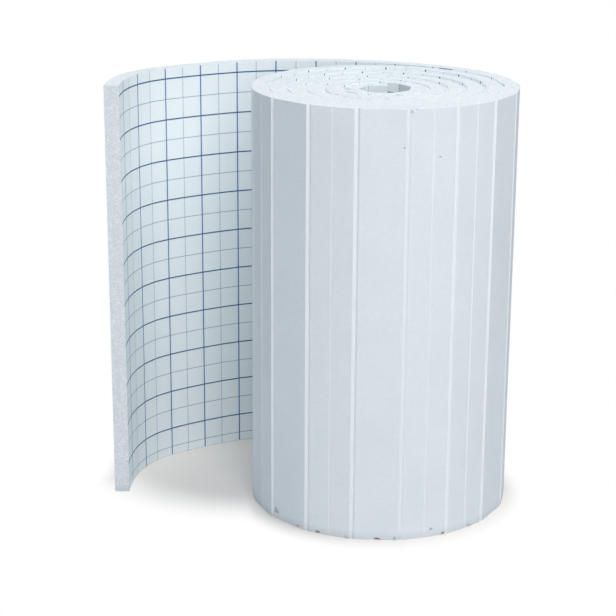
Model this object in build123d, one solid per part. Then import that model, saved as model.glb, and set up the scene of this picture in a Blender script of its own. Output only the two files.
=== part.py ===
from build123d import *
from math import asin, atan2, cos, degrees, radians, sin, sqrt
import os

# Roll of slatted polystyrene floor insulation, standing on its end with its last metre pulled loose.
# One foam sheet, cut across its back into slats, hinges on a printed film and is wound film inside.
# Frame: origin on the roll's axis at the floor, +Z up along the roll, +Y away from the viewer.

# Sheet
sheet_width = 1000.0
foam_thickness = 35.0
film_thickness = 0.3
film_setback = 2.0
slat_pitch = 50.0

# Winding, where each turn lies on the one inside it
roll_radius = 307.0
bore_radius = 34.0
turn_clearance = 1.0
turn_relief_depth = 10.0
core_lap = 1.5
slats_per_facet = 2
nip_angle = 66.0
full_turn = 360.0

# Share of a facet's bow that its middle cut takes, facet after facet from the nip inwards
middle_bow_shares = (0.5, 0.5, 0.0, 0.3, 0.0)

# Loose tail, cut off part way along its last slat, with its fold at each cut from the nip outwards
end_slat_length = 20.0
tail_fold_angles = (8, 6, 4, 5, 5, 4, 4, 5, 8, 8, 7, 4, 3, 3, 8, 14, 12, 9, 7, 5)
open_cut_angle = 0.5

# Depth of an open cut to its width: the soft foam stays squeezed shut below the lips
lip_depth_ratio = 0.55


def bow(chord, radius):
    """Height of an arc over its chord."""
    return radius - sqrt(radius**2 - (chord / 2) ** 2)


# A turn's flat facets clear the corners of the slats inside it
facet_length = slats_per_facet * slat_pitch
covered_radius = roll_radius - 2 * foam_thickness
facet_rise = bow(facet_length, covered_radius) + bow(slat_pitch, covered_radius)
turn_pitch = foam_thickness + facet_rise + turn_clearance
nip_radius = roll_radius - foam_thickness + turn_pitch / 2


def film_radius(angle):
    return nip_radius - turn_pitch * (nip_angle - angle) / full_turn


def film_point(angle):
    radius = film_radius(angle)
    return Vector(radius * cos(radians(angle)), radius * sin(radians(angle)))


def one_chord_inwards(angle, chord):
    """The angle one chord further in along the spiral."""
    step = degrees(chord / film_radius(angle))
    for _ in range(8):
        here, there = film_radius(angle), film_radius(angle - step)
        step = degrees(2 * asin(sqrt((chord**2 - (here - there) ** 2) / (4 * here * there))))
    return angle - step


def wound_hinges():
    """Angle and film-side point of each cut, from the innermost edge of the sheet out to the nip."""
    angle, facet = nip_angle, 0
    hinges = [(angle, film_point(angle))]
    while True:
        in_sight = nip_angle - angle < full_turn
        inner_angle = one_chord_inwards(angle, facet_length if in_sight else slat_pitch)
        if film_radius(inner_angle) < bore_radius:
            return hinges[::-1]
        if in_sight:
            share = middle_bow_shares[facet % len(middle_bow_shares)]
            middle = (film_point(angle) + film_point(inner_angle)) / 2
            rise = share * bow(facet_length, film_radius(angle))
            hinges.append(((angle + inner_angle) / 2, middle + middle.normalized() * rise))
            facet += 1
        angle = inner_angle
        hinges.append((angle, film_point(angle)))


def heading_of(start, end):
    return degrees(atan2(end.Y - start.Y, end.X - start.X))


def along(heading):
    return Vector(cos(radians(heading)), sin(radians(heading)))


def outward(heading):
    """Unit vector from the film to the back of a slat that runs along this heading."""
    return along(heading - 90)


def tail_hinges(nip, heading):
    """Film-side points of the loose tail, each slat folded round from the one before."""
    points = [nip]
    lengths = [slat_pitch] * (len(tail_fold_angles) - 1) + [end_slat_length]
    for fold, length in zip(tail_fold_angles, lengths):
        heading += fold
        points.append(points[-1] + along(heading) * length)
    return points


def headings_and_folds(points):
    headings = [heading_of(a, b) for a, b in zip(points, points[1:])]
    folds = [(after - before + 180) % 360 - 180 for before, after in zip(headings, headings[1:])]
    return headings, folds


def offset_line(points, distance):
    """The hinge line moved outwards, mitred at each hinge."""
    headings, folds = headings_and_folds(points)
    moved = [points[0] + outward(headings[0]) * distance]
    for point, heading, fold in zip(points[1:], headings, folds):
        moved.append(point + outward(heading + fold / 2) * (distance / cos(radians(fold / 2))))
    return moved + [points[-1] + outward(headings[-1]) * distance]


def polygon(points):
    return make_face(Polyline(*points, close=True))


def slatted_sheet(points):
    """Section of the foam: a plain film side, and a back whose cuts gape where the sheet folds."""
    headings, folds = headings_and_folds(points)
    back = [points[0] + outward(headings[0]) * foam_thickness]
    for point, heading, fold in zip(points[1:], headings, folds):
        if fold > open_cut_angle:
            near_lip = point + outward(heading) * foam_thickness
            far_lip = point + outward(heading + fold) * foam_thickness
            lip_depth = lip_depth_ratio * (far_lip - near_lip).length
            cut_bottom = (near_lip + far_lip) / 2 - outward(heading + fold / 2) * lip_depth
            back += [near_lip, cut_bottom, far_lip]
    back.append(points[-1] + outward(headings[-1]) * foam_thickness)
    return polygon(points + back[::-1])


def packed_turns(hinges):
    """Section of the roll below its end relief: the turns with no gaps, round the open middle."""
    angles = [angle for angle, _ in hinges]
    line = offset_line([point for _, point in hinges], core_lap)
    last_turn = sum(angle <= angles[-1] - full_turn for angle in angles) - 1
    first_turn = sum(angle < angles[0] + full_turn for angle in angles) + 1
    inner_edge = hinges[0][1] + outward(heading_of(hinges[0][1], hinges[1][1])) * foam_thickness
    return polygon(line[last_turn:]) - polygon([inner_edge] + line[:first_turn])


wound = wound_hinges()
wound_points = [point for _, point in wound]
tail_points = tail_hinges(wound_points[-1], heading_of(*wound_points[-2:]))

# Foam: the whole sheet at full width, its turns packed solid but for a relief into both ends
sheet_points = wound_points + tail_points[1:]
packed_height = sheet_width - 2 * turn_relief_depth
packed_core = Pos(0, 0, turn_relief_depth) * extrude(packed_turns(wound), packed_height)
foam_roll = extrude(slatted_sheet(sheet_points), sheet_width) + packed_core

# Printed film: bonded to the sheet's inner face from end to end, trimmed just short of the foam's two edges
film_face = offset_line(sheet_points, -film_thickness)
film_width = sheet_width - 2 * film_setback
printed_film = Pos(0, 0, film_setback) * extrude(polygon(sheet_points + film_face[::-1]), film_width)
printed_film -= packed_core

os.makedirs("parts", exist_ok=True)
export_step(foam_roll, "parts/foam_roll.step")
export_step(printed_film, "parts/printed_film.step")
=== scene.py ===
import math
import random

import bmesh
import bpy
from mathutils import Matrix, Vector
from mathutils.bvhtree import BVHTree
from mathutils.kdtree import KDTree


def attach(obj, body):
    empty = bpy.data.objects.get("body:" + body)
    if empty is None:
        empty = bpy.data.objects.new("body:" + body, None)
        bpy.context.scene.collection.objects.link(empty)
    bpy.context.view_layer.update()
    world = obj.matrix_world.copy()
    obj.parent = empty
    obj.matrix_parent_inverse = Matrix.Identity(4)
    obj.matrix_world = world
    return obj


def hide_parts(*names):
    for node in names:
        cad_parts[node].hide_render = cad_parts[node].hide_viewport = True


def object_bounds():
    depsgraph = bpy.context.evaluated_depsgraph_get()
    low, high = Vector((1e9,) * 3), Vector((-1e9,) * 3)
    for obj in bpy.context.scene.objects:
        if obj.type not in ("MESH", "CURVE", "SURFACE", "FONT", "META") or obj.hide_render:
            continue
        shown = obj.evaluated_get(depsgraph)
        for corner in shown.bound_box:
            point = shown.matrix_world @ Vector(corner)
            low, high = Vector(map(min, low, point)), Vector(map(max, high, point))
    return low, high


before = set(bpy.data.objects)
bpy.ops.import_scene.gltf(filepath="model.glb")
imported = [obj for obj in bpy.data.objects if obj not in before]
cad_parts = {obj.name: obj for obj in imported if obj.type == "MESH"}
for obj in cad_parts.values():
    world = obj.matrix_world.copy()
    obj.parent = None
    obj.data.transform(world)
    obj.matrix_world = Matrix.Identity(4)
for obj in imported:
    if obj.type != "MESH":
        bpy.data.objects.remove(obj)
cad_low, cad_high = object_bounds()

# Foam sheet: white expanded polystyrene board 35 mm thick, cut from a moulded block with a hot wire.
# Its back is sawn across into 50 mm slats, so that it winds up on its film and the cuts gape outwards.
# Handling has dulled the slats' corners, broken beads out of its edges and let the inner turns slip down.
TOP = cad_high.z
END_TO_END = 0.9 * TOP
WELD = 1e-5
TOUCH = 1e-4
FLAT_ANGLE = math.radians(0.2)
FACING_COSINE = 0.5
BACK_COSINE = 0.7
CORNER_WEAR = 0.0016
WORN_ANGLE = math.radians(40)

# The film's spiral: the bearing and radius where the tail leaves the roll, and the step from turn to turn.
NIP_ANGLE = 66.0
NIP_RADIUS = 0.2933
TURN_PITCH = 0.04266
TURN_MARGIN = 0.1

# The gaps between the turns, 10 mm deep in the solid, show as shallow grooves, squeezed shut further down.
END_GAP_FLOOR = TOP - 0.010
RIM_FLOOR = TOP - 0.0055
GROOVE_DEPTH = 0.0035
SLIP = 0.0082
SLIP_START = 0.85
SLIP_TURNS = 3.2


def merged(name):
    """A bmesh of a CAD node, its loose triangles joined up into whole flat faces."""
    mesh = bmesh.new()
    mesh.from_mesh(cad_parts[name].data)
    bmesh.ops.remove_doubles(mesh, verts=mesh.verts, dist=WELD)
    bmesh.ops.dissolve_limit(mesh, angle_limit=FLAT_ANGLE, verts=mesh.verts, edges=mesh.edges)
    for face in mesh.faces:
        face.smooth = False
    return mesh


def new_object(name, mesh, stuff):
    """The finished bmesh as an object of one material."""
    data = bpy.data.meshes.new(name)
    mesh.to_mesh(data)
    mesh.free()
    data.materials.append(stuff)
    made = bpy.data.objects.new(name, data)
    bpy.context.scene.collection.objects.link(made)
    return made


def turns_in(spot, margin):
    """Turns from the nip in to this point of the wound sheet, give or take a margin in turns."""
    share = (NIP_ANGLE - math.degrees(math.atan2(spot.y, spot.x))) / 360 % 1
    return share + math.ceil((NIP_RADIUS - spot.xy.length) / TURN_PITCH + margin - share)


def turn_top(turns):
    """Height of a turn's upper edge: the outer ones stand level, and those further in have slipped down."""
    slipped_share = min(max((turns - SLIP_START) / SLIP_TURNS, 0.0), 1.0)
    return TOP - SLIP * math.sin(math.pi / 2 * slipped_share)


def settled(spot, rise):
    """Height of a point near the top of the roll once the inner turns have slipped."""
    if spot.z > RIM_FLOOR:
        return spot.z - TOP + turn_top(turns_in(spot, -TURN_MARGIN)) + rise
    if abs(spot.z - END_GAP_FLOOR) < TOUCH:
        return turn_top(turns_in(spot, TURN_MARGIN)) - GROOVE_DEPTH
    return spot.z


def level(face):
    """A face on one of the roll's two ends."""
    return abs(face.normal.z) > FACING_COSINE


def worn(edge):
    """A slat's corner, or the rim of its back at either end, where hands and floors rub."""
    if len(edge.link_faces) != 2 or not edge.is_convex or edge.calc_face_angle() < WORN_ANGLE:
        return False
    a, b = (v.co for v in edge.verts)
    if abs(a.z - b.z) > WELD:
        return edge.calc_length() > END_TO_END
    sides = [f for f in edge.link_faces if not level(f)]
    outwards = Vector((*((a + b) / 2).xy, 0)).normalized()
    return bool(sides) and sides[0].normal.dot(outwards) > BACK_COSINE


foam = merged("foam_roll")
bmesh.ops.bevel(
    foam, geom=[e for e in foam.edges if worn(e)], offset=CORNER_WEAR, offset_type="OFFSET",
    affect="EDGES", segments=2, profile=0.5, material=-1, clamp_overlap=True,
)
bmesh.ops.triangulate(foam, faces=[f for f in foam.faces if level(f)])
for vert in foam.verts:
    vert.co.z = settled(vert.co, 0.0)

# Material: expanded polystyrene, white, with its fused beads of 3 to 5 mm showing as a faint mosaic.
# The wire leaves the slats smooth; the sawn ends show each bead, with the seams between them a shade darker.
# Narrow strips at the cuts and worn corners above 0.4 m carry painted light, a paler tone for the light the
# cuts' walls catch; the lowest 20 mm is a shade greyer.
BEAD = 0.0045
SEAM_SHARE = 0.12
SEAM_DEPTH = 0.0006
CLOUD = 0.15
LOW_GREYING_HEIGHT = 0.02


def tone(code):
    """A colour written as sRGB hex, turned to linear."""
    parts = [int(code[i:i + 2], 16) / 255 for i in (1, 3, 5)]
    return (*[p / 12.92 if p <= 0.04045 else ((p + 0.055) / 1.055) ** 2.4 for p in parts], 1.0)


def node(tree, kind, settings=None, **links):
    """Adds a node with its settings; _3 stands for the socket of that number, in settings and in links."""
    made = tree.nodes.new(kind)
    for name, value in (settings or {}).items():
        if name[0] == "_":
            made.inputs[int(name[1:])].default_value = value
        elif name in made.inputs:
            made.inputs[name].default_value = value
        else:
            setattr(made, name, value)
    for name, source in links.items():
        socket = made.inputs[int(name[1:])] if name[0] == "_" else made.inputs[name]
        tree.links.new(source, socket)
    return made


def material(name):
    """A new node material, with its tree and its surface shader."""
    made = bpy.data.materials.new(name)
    made.use_nodes = True
    return made, made.node_tree, made.node_tree.nodes["Principled BSDF"]


polystyrene, tree, shader = material("expanded_polystyrene_hot_wire_cut")
place = node(tree, "ShaderNodeTexCoord").outputs["Object"]
height = node(tree, "ShaderNodeSeparateXYZ", Vector=place).outputs["Z"]
sawn = node(tree, "ShaderNodeAttribute", {"attribute_name": "sawn"}).outputs["Fac"]
painted_light_strip = node(tree, "ShaderNodeAttribute", {"attribute_name": "painted_light_strip"}).outputs["Fac"]
hollow_greying = node(tree, "ShaderNodeAttribute", {"attribute_name": "hollow_greying"}).outputs["Fac"]
beads = node(tree, "ShaderNodeTexVoronoi", {"feature": "F1", "Scale": 1 / BEAD}, Vector=place)
bead = node(tree, "ShaderNodeSeparateColor", Color=beads.outputs["Color"]).outputs["Red"]
edges = node(tree, "ShaderNodeTexVoronoi", {"feature": "DISTANCE_TO_EDGE", "Scale": 1 / BEAD}, Vector=place)
clouds = node(tree, "ShaderNodeTexNoise", {"Scale": 1 / CLOUD, "Detail": 3.0}, Vector=place)
cloud = node(
    tree, "ShaderNodeMapRange", {"From Min": 0.45, "From Max": 0.75, "To Max": 0.5},
    Value=clouds.outputs["Fac"],
)
seam = node(
    tree, "ShaderNodeMapRange", {"From Max": SEAM_SHARE, "To Min": 1.0, "To Max": 0.0},
    Value=edges.outputs["Distance"],
)
clearness = node(tree, "ShaderNodeMapRange", {"To Min": 0.35, "To Max": 0.9}, Value=sawn)
seams = node(
    tree, "ShaderNodeMath", {"operation": "MULTIPLY"},
    _0=seam.outputs["Result"], _1=clearness.outputs["Result"],
)
# Darker towards the bottom: the lowest 20 mm is greyed.
low_greying = node(
    tree, "ShaderNodeMapRange", {"From Max": LOW_GREYING_HEIGHT, "To Min": 0.45, "To Max": 0.0}, Value=height,
)
smooth = node(
    tree, "ShaderNodeMix", {"data_type": "RGBA", "_6": tone("#EFF4F8"), "_7": tone("#EBF1F5")}, _0=bead,
)
broken = node(
    tree, "ShaderNodeMix", {"data_type": "RGBA", "_6": tone("#FCFEFF"), "_7": tone("#E2E9EE")}, _0=bead,
)
colour = node(
    tree, "ShaderNodeMix", {"data_type": "RGBA"}, _0=sawn, _6=smooth.outputs[2], _7=broken.outputs[2],
)
for mask, code in (
    (cloud.outputs["Result"], "#E4EBF1"),
    (seams.outputs["Value"], "#DFE6EC"),
    # painted light: the narrow cut strips are painted paler, for the light the cuts' walls catch
    (painted_light_strip, "#F3F7FA"),
    (low_greying.outputs["Result"], "#C9CFD2"),
    # the chips' hollows are painted a darker grey, by each chip's share
    (hollow_greying, "#8F9699"),
):
    colour = node(
        tree, "ShaderNodeMix", {"data_type": "RGBA", "_7": tone(code)}, _0=mask, _6=colour.outputs[2],
    )
relief = node(
    tree, "ShaderNodeBump", {"Strength": 0.3, "Distance": SEAM_DEPTH, "invert": True},
    Height=seams.outputs["Value"],
)
tree.links.new(colour.outputs[2], shader.inputs["Base Color"])
tree.links.new(relief.outputs["Normal"], shader.inputs["Normal"])
shader.inputs["Roughness"].default_value = 0.8
shader.inputs["Specular IOR Level"].default_value = 0.25

# Chips: beads missing from the slats' rims and faces, by bearing, height, size and share of grey painted
# into their hollows.
# Each is a small cluster of bead-sized hollows. Finer nicks run up the outer corner of the tail's end.
CHIPS = (
    (223.3, 0.021, 0.0046, 0.45), (247.6, 0.002, 0.0034, 0.8), (274.6, 0.002, 0.0038, 0.85),
    (297.9, 0.019, 0.0030, 0.35), (303.3, 0.002, 0.0038, 0.7), (282.7, 0.003, 0.0040, 0.3),
    (237.3, 0.002, 0.0040, 0.3), (261.0, 0.002, 0.0044, 0.35), (318.0, 0.001, 0.0040, 0.3),
    (286.1, 0.998, 0.0046, 0.15), (282.3, 0.915, 0.0024, 0.2), (297.4, 0.894, 0.0022, 0.15),
)
CHIP_HOLLOWS = 5
HOLLOW_SPREAD = 1.3
HOLLOW_RISE = 0.9
HOLLOW_DEPTHS = (-0.6, 0.1)
HOLLOW_SIZES = (0.55, 1.0)
NICKS = 22
NICK_HOLLOWS = 2
NICK_SIZES = (0.0016, 0.0032)
NICK_HOLLOW_GREY = 0.1
NICK_OUT = Vector((-0.7, -0.7, 0))
NICK_END_MARGIN = 0.01
OUTSIDE = 0.8
TAIL_END_X = -0.55
SLIT_WIDTH = 0.02
# Narrow strips above this height get painted light, a paler tone for the light the cuts catch.
PAINTED_LIGHT_ABOVE = 0.4
SEED = 22
random.seed(SEED)
skin = BVHTree.FromBMesh(foam)
hollows = bmesh.new()
hollow_grey_layer = hollows.faces.layers.float.new("hollow_greying")


def chip(spot, out, size, hollow_grey, count):
    """Hollows in a cluster on one spot of the surface, spread by shares of the chip's size."""
    sideways = Vector((-out.y, out.x, 0))
    for _ in range(count):
        shift = sideways * random.uniform(-HOLLOW_SPREAD, HOLLOW_SPREAD)
        shift.z = random.uniform(-HOLLOW_RISE, HOLLOW_RISE)
        middle = spot + (shift + out * random.uniform(*HOLLOW_DEPTHS)) * size
        ball = bmesh.ops.create_icosphere(
            hollows, subdivisions=2, radius=size * random.uniform(*HOLLOW_SIZES),
            matrix=Matrix.Translation(middle),
        )
        for vert in ball["verts"]:
            for face in vert.link_faces:
                face[hollow_grey_layer] = hollow_grey


def sawn_off(face):
    """The end of the loose tail, sawn across a slat."""
    faces_viewer = abs(face.normal.x) < FACING_COSINE and face.normal.y < -FACING_COSINE
    return faces_viewer and face.calc_center_median().x < TAIL_END_X


for bearing, chip_height, size, hollow_grey in CHIPS:
    out = Vector((math.cos(math.radians(bearing)), math.sin(math.radians(bearing)), 0))
    spot = skin.ray_cast(out * OUTSIDE + Vector((0, 0, chip_height)), -out)[0]
    chip(spot, out, size, hollow_grey, CHIP_HOLLOWS)
tail_end = max((f for f in foam.faces if sawn_off(f)), key=lambda f: f.calc_area())
outer_corner = min((v.co.xy for v in tail_end.verts), key=lambda corner: corner.x)
for _ in range(NICKS):
    spot = Vector((*outer_corner, random.uniform(NICK_END_MARGIN, TOP - NICK_END_MARGIN)))
    chip(spot, NICK_OUT, random.uniform(*NICK_SIZES), NICK_HOLLOW_GREY, NICK_HOLLOWS)

foam.faces.layers.float.new("hollow_greying")
sawn_layer = foam.faces.layers.float.new("sawn")
painted_light_layer = foam.faces.layers.float.new("painted_light_strip")
for face in foam.faces:
    end = level(face) or sawn_off(face)
    face[sawn_layer] = 1.0 if end else 0.0
    narrow = len(face.verts) == 4 and min(e.calc_length() for e in face.edges) < SLIT_WIDTH
    # Narrow strips above 0.4 m are painted paler: painted light where the cuts' walls and worn corners catch
    # light.
    painted_light_here = narrow and not end and face.calc_center_median().z > PAINTED_LIGHT_ABOVE
    face[painted_light_layer] = 1.0 if painted_light_here else 0.0
bmesh.ops.triangulate(foam, faces=[f for f in foam.faces if len(f.verts) > 4])
roll = new_object("slatted_foam", foam, polystyrene)
chip_tool = new_object("chip_tool", hollows, polystyrene)
chipping = roll.modifiers.new("chips", "BOOLEAN")
chipping.operation = "DIFFERENCE"
chipping.solver = "EXACT"
chipping.object = chip_tool
chipping.use_self = True
chipped = bpy.data.meshes.new_from_object(roll.evaluated_get(bpy.context.evaluated_depsgraph_get()))
roll.modifiers.clear()
roll.data = chipped
bpy.data.objects.remove(chip_tool)
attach(roll, "root")
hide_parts("foam_roll")

# Printed film: thin white polyethylene laminate, bonded over the whole inner face of the sheet as its hinge.
# A blue grid is printed on it for setting out pipes, a bold line every 100 mm and a fine one between.
# It rounds off each fold a little, and shows again between the turns and round the open middle.
FILM = 0.0003
FILM_TRIM = 0.002
RIM_SETBACK = 0.0003
FOLD_ROUNDING = 0.012
ROUNDED_FROM_RADIUS = 0.2


def printed_side(face):
    """A face of the film that looks in towards the roll's axis."""
    return face.normal.xy.dot(face.calc_center_median().xy.normalized()) <= -FACING_COSINE


def outer_fold(edge):
    """A fold of the film between two slats, in the outer turns or the tail."""
    a, b = (v.co for v in edge.verts)
    upright = (a - b).xy.length < TOUCH and abs(a.z - b.z) > END_TO_END
    return upright and len(edge.link_faces) == 2 and a.xy.length > ROUNDED_FROM_RADIUS


film = merged("printed_film")
bmesh.ops.delete(film, geom=[f for f in film.faces if not printed_side(f)], context="FACES")
bmesh.ops.bevel(
    film, geom=[e for e in film.edges if outer_fold(e)], offset=FOLD_ROUNDING, offset_type="OFFSET",
    affect="EDGES", segments=3, profile=0.5, material=-1,
)

# The print follows the sheet: its map gives metres from the tail's end and metres up from the floor.
film_top = max(v.co.z for v in film.verts)
rim = [v for v in film.verts if abs(v.co.z - film_top) < WELD]
rim_points = KDTree(len(rim))
distances = []
along, last, here = 0.0, None, min(rim, key=lambda v: v.co.x + v.co.y)
while here:
    rim_points.insert((*here.co.xy, 0), len(distances))
    distances.append(along)
    beside = [e.other_vert(here) for e in here.link_edges]
    ahead = [v for v in beside if abs(v.co.z - film_top) < WELD and v is not last]
    last, here = here, ahead[0] if ahead else None
    along += (here.co - last.co).length if here else 0.0
rim_points.balance()
sheet_map = film.loops.layers.uv.new("sheet")
for face in film.faces:
    for loop in face.loops:
        nearest = rim_points.find((*loop.vert.co.xy, 0))[1]
        loop[sheet_map].uv = (distances[nearest], loop.vert.co.z)
for vert in film.verts:
    vert.co.z = settled(vert.co, FILM_TRIM - RIM_SETBACK)

# Material: laminated polyethylene film, white with printed ink, smooth with a soft sheen.
# Each row of the print is a direction, its first line, a line's width, the ink, its strength and its dots.
# The dots of the fine upright lines are drawn coarser than the printer's own, so that they show.
GRID = 0.1
FIRST_UPRIGHT = 0.063
FIRST_LEVEL = 0.0735
INK_BLEED = 0.0002
DOT_SPACING = 0.006
DOT_GAP = 0.0022
PRINT = (
    ("X", FIRST_UPRIGHT + GRID / 2, 0.0018, "#5F7187", 0.85, True),
    ("Y", FIRST_LEVEL + GRID / 2, 0.0016, "#5F7187", 0.75, False),
    ("Y", FIRST_LEVEL, 0.0031, "#17568C", 1.0, False),
    ("X", FIRST_UPRIGHT, 0.0030, "#1D64A8", 1.0, False),
)
laminate, tree, shader = material("laminated_film_printed_grid")
sheet = node(tree, "ShaderNodeUVMap", {"uv_map": "sheet"}).outputs["UV"]
split = node(tree, "ShaderNodeSeparateXYZ", Vector=sheet)
swing = node(tree, "ShaderNodeMath", {"operation": "PINGPONG", "_1": DOT_SPACING / 2}, _0=split.outputs["Y"])
dots = node(
    tree, "ShaderNodeMath", {"operation": "GREATER_THAN", "_1": DOT_GAP / 2}, _0=swing.outputs["Value"],
)
colour = None
for direction, first, width, ink, strength, dotted in PRINT:
    moved = node(tree, "ShaderNodeMath", {"operation": "SUBTRACT", "_1": first}, _0=split.outputs[direction])
    away = node(tree, "ShaderNodeMath", {"operation": "PINGPONG", "_1": GRID / 2}, _0=moved.outputs["Value"])
    edge = {"From Min": width / 2 - INK_BLEED, "From Max": width / 2 + INK_BLEED}
    mask = node(
        tree, "ShaderNodeMapRange", {**edge, "To Min": strength, "To Max": 0.0}, Value=away.outputs["Value"],
    ).outputs["Result"]
    if dotted:
        mask = node(
            tree, "ShaderNodeMath", {"operation": "MULTIPLY"}, _0=mask, _1=dots.outputs["Value"],
        ).outputs["Value"]
    over = node(
        tree, "ShaderNodeMix", {"data_type": "RGBA", "_6": tone("#F5FCFF"), "_7": tone(ink)}, _0=mask,
    )
    if colour is not None:
        tree.links.new(colour, over.inputs[6])
    colour = over.outputs[2]
tree.links.new(colour, shader.inputs["Base Color"])
shader.inputs["Roughness"].default_value = 0.7
shader.inputs["Specular IOR Level"].default_value = 0.2

sheet_of_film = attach(new_object("printed_film_sheet", film, laminate), "root")
thickness = sheet_of_film.modifiers.new("thickness", "SOLIDIFY")
thickness.thickness = FILM
thickness.offset = -1.0
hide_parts("printed_film")

# Floor: a plain white studio sweep that the roll stands on, wide enough to have no edge in view.
# It is painted matt, keeps the roll's soft shadow close by and runs out to clean white further off.
FLOOR_RADIUS = 14.0
BAY_MIDDLE = (-0.33, 0.22, 0.0)
BAY_FADE = {"From Min": 0.28, "From Max": 0.47}
TAIL_SIDE_FADE = {"From Min": -0.6, "From Max": -0.69}
FOOT_FADE = {"From Min": 0.30, "From Max": 0.37}


def seen_directly(tree):
    """1 for what the viewer sees straight on, mirrored or through glass, and 0 for the light thrown back."""
    rays = node(tree, "ShaderNodeLightPath").outputs
    mirrored = node(
        tree, "ShaderNodeMath", {"operation": "MAXIMUM"}, _0=rays["Is Camera Ray"], _1=rays["Is Glossy Ray"],
    )
    through = node(
        tree, "ShaderNodeMath", {"operation": "MAXIMUM"},
        _0=mirrored.outputs["Value"], _1=rays["Is Transmission Ray"],
    )
    return through.outputs["Value"]


floor_paint, tree, shader = material("matt_white_studio_floor")
tree.nodes.remove(shader)
seen = seen_directly(tree)
paint = node(
    tree, "ShaderNodeMix", {"data_type": "RGBA", "_6": tone("#F0F0F0"), "_7": tone("#FFF9F4")}, _0=seen,
)
matt = node(tree, "ShaderNodeBsdfDiffuse", Color=paint.outputs[2])
white = node(tree, "ShaderNodeEmission", {"Color": tone("#FFFFFF"), "Strength": 1.0})
place = node(tree, "ShaderNodeTexCoord").outputs["Object"]
soft = {"interpolation_type": "SMOOTHSTEP"}
from_bay = node(tree, "ShaderNodeVectorMath", {"operation": "DISTANCE", "_1": BAY_MIDDLE}, _0=place)
bay = node(tree, "ShaderNodeMapRange", {**soft, **BAY_FADE}, Value=from_bay.outputs["Value"])
across = node(tree, "ShaderNodeSeparateXYZ", Vector=place).outputs["X"]
tail_side = node(tree, "ShaderNodeMapRange", {**soft, **TAIL_SIDE_FADE}, Value=across)
past_tail = node(
    tree, "ShaderNodeMath", {"operation": "MAXIMUM"},
    _0=bay.outputs["Result"], _1=tail_side.outputs["Result"],
)
from_axis = node(tree, "ShaderNodeVectorMath", {"operation": "LENGTH"}, _0=place)
foot = node(tree, "ShaderNodeMapRange", {**soft, **FOOT_FADE}, Value=from_axis.outputs["Value"])
far = node(
    tree, "ShaderNodeMath", {"operation": "MINIMUM"},
    _0=past_tail.outputs["Value"], _1=foot.outputs["Result"],
)
blank = node(tree, "ShaderNodeMath", {"operation": "MULTIPLY"}, _0=far.outputs["Value"], _1=seen)
mixed = node(
    tree, "ShaderNodeMixShader",
    _0=blank.outputs["Value"], _1=matt.outputs["BSDF"], _2=white.outputs["Emission"],
)
tree.links.new(mixed.outputs["Shader"], tree.nodes["Material Output"].inputs["Surface"])
ground = bmesh.new()
bmesh.ops.create_circle(ground, cap_ends=True, segments=64, radius=FLOOR_RADIUS)
new_object("studio_floor", ground, floor_paint)

# Studio light: four large soft boxes round the roll, in front, overhead, at the right and behind it.
# The pale room's own light is a little cool, which greys the shaded slats towards blue.
# Each row is a box's name, its bearing and height in degrees, and its power in watts.
SOFT_BOXES = (
    ("front_soft_box", 280, 23, 66),
    ("overhead_soft_box", 300, 78, 46),
    ("side_soft_box", 345, 60, 51),
    ("back_soft_box", 125, 25, 66),
)
BOX_SIZE = 2.6
BOX_DISTANCE = 4.0
BOX_COLOUR = (1.0, 0.98, 0.94)
LIT_MIDDLE = Vector((-0.1, 0, 0.5))
ROOM_COLOUR = (0.55, 0.85, 1.2, 1)
ROOM_GLOW = 0.15
room = bpy.data.worlds.new("pale_room")
bpy.context.scene.world = room
room.use_nodes = True
tree = room.node_tree
tree.nodes.clear()
glow = node(tree, "ShaderNodeBackground", {"Color": ROOM_COLOUR, "Strength": ROOM_GLOW})
white = node(tree, "ShaderNodeBackground", {"Color": tone("#FFFFFF"), "Strength": 1.0})
mixed = node(
    tree, "ShaderNodeMixShader",
    _0=seen_directly(tree), _1=glow.outputs["Background"], _2=white.outputs["Background"],
)
node(tree, "ShaderNodeOutputWorld", Surface=mixed.outputs["Shader"])
for name, bearing, lift, power in SOFT_BOXES:
    lamp = bpy.data.lights.new(name, "AREA")
    lamp.shape = "RECTANGLE"
    lamp.size = lamp.size_y = BOX_SIZE
    lamp.energy = power
    lamp.color = BOX_COLOUR
    tilt = Matrix.Rotation(math.radians(-lift), 3, "Y")
    towards = Matrix.Rotation(math.radians(bearing), 3, "Z") @ tilt @ Vector((1, 0, 0))
    soft_box = bpy.data.objects.new(name, lamp)
    soft_box.location = LIT_MIDDLE + towards * BOX_DISTANCE
    soft_box.rotation_euler = towards.to_track_quat("Z", "Y").to_euler()
    bpy.context.scene.collection.objects.link(soft_box)

# Camera: a long lens about 4 m off and well above the roll's top, looking down on it.
# It stands a little to the right of the roll's axis and turns left, to take in the loose end.
LENS = 101.5
SENSOR = 36
CAMERA_PLACE = (0.18, -3.966, 1.678)
YAW = math.radians(4.97)
PITCH = math.radians(-17.04)
ROLL = math.radians(0.32)
eye = bpy.data.cameras.new("camera")
eye.lens = LENS
eye.sensor_width = SENSOR
camera = bpy.data.objects.new("camera", eye)
forward = Vector((-math.sin(YAW) * math.cos(PITCH), math.cos(YAW) * math.cos(PITCH), math.sin(PITCH)))
aim = forward.to_track_quat("-Z", "Y").to_matrix() @ Matrix.Rotation(ROLL, 3, "Z")
camera.location = CAMERA_PLACE
camera.rotation_euler = aim.to_euler()
bpy.context.scene.collection.objects.link(camera)
bpy.context.scene.camera = camera
bpy.context.scene.view_settings.view_transform = "Standard"
